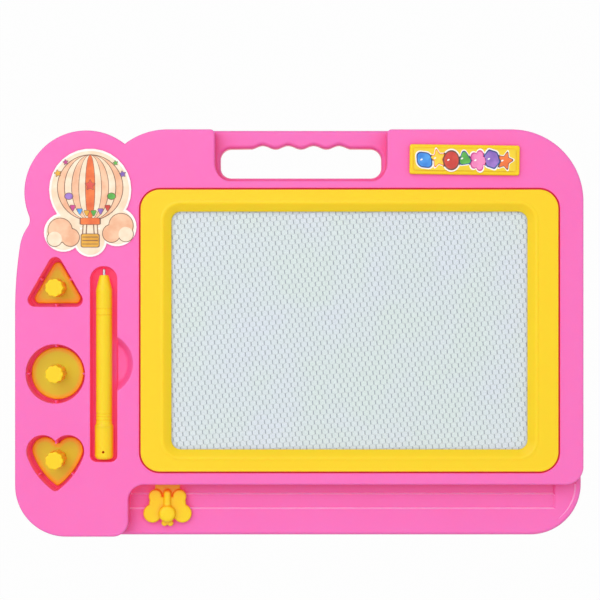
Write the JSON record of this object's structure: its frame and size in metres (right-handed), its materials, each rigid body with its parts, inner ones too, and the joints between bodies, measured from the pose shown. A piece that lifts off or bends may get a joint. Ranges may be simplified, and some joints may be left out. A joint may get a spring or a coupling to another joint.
{
  "type": "magnetic drawing board",
  "caption": "Flat children's magnetic drawing board with a framed honeycomb screen, sliding eraser knob, lift-out pen and shape stamps, and a grip handle.",
  "frame": {"origin": "centre of the underside of the board, lying flat", "axes": "+Z out of the screen side, +X to the right and +Y towards the handle, seen from above"},
  "size_m": [0.36, 0.258, 0.0265],
  "materials": {
    "pink_plastic": "satin moulded plastic",
    "yellow_plastic": "satin moulded plastic",
    "white_honeycomb": "thin-walled cells",
    "clear_film": "clear film",
    "milky_film": "milky film",
    "magnet": "flexible magnet",
    "steel": "plated",
    "sticker_print": "glossy printed sticker"
  },
  "bodies": {
    "board": {"front_shell": "pink_plastic", "rear_cover": "pink_plastic", "bezel_frame": "yellow_plastic", "screen_front_film": "clear_film", "honeycomb_core": "white_honeycomb", "screen_back_film": "milky_film", "label_plate": "yellow_plastic", "label_sticker": "sticker_print", "picture_sticker": "sticker_print", "rear_screw_1": "steel", "rear_screw_2": "steel", "rear_screw_3": "steel", "rear_screw_4": "steel", "rear_screw_5": "steel", "rear_screw_6": "steel", "rear_screw_7": "steel", "rear_screw_8": "steel", "rear_screw_9": "steel", "rear_screw_10": "steel", "rear_screw_11": "steel"},
    "eraser": {"eraser_knob": "yellow_plastic", "eraser_bar": "yellow_plastic", "eraser_magnet_strip": "magnet", "eraser_screw_1": "steel", "eraser_screw_2": "steel"},
    "pen": {"pen_barrel": "yellow_plastic", "pen_tail_cap": "yellow_plastic", "pen_tip_pin": "steel", "pen_magnet": "magnet"},
    "triangle_stamp_body": {"triangle_stamp": "yellow_plastic", "triangle_stamp_magnet": "magnet"},
    "circle_stamp_body": {"circle_stamp": "yellow_plastic", "circle_stamp_magnet": "magnet"},
    "heart_stamp_body": {"heart_stamp": "yellow_plastic", "heart_stamp_magnet": "magnet"}
  },
  "joints": [
    {"name": "eraser_slide", "type": "slide", "parent": "board", "child": "eraser", "axis": [1, 0, 0], "range_m": [0, 0.2316]},
    {"name": "pen_lift", "type": "slide", "parent": "board", "child": "pen", "axis": [0, 0, 1], "range_m": [0, 0.03]},
    {"name": "triangle_stamp_lift", "type": "slide", "parent": "board", "child": "triangle_stamp_body", "axis": [0, 0, 1], "range_m": [0, 0.035]},
    {"name": "circle_stamp_lift", "type": "slide", "parent": "board", "child": "circle_stamp_body", "axis": [0, 0, 1], "range_m": [0, 0.035]},
    {"name": "heart_stamp_lift", "type": "slide", "parent": "board", "child": "heart_stamp_body", "axis": [0, 0, 1], "range_m": [0, 0.035]}
  ]
}
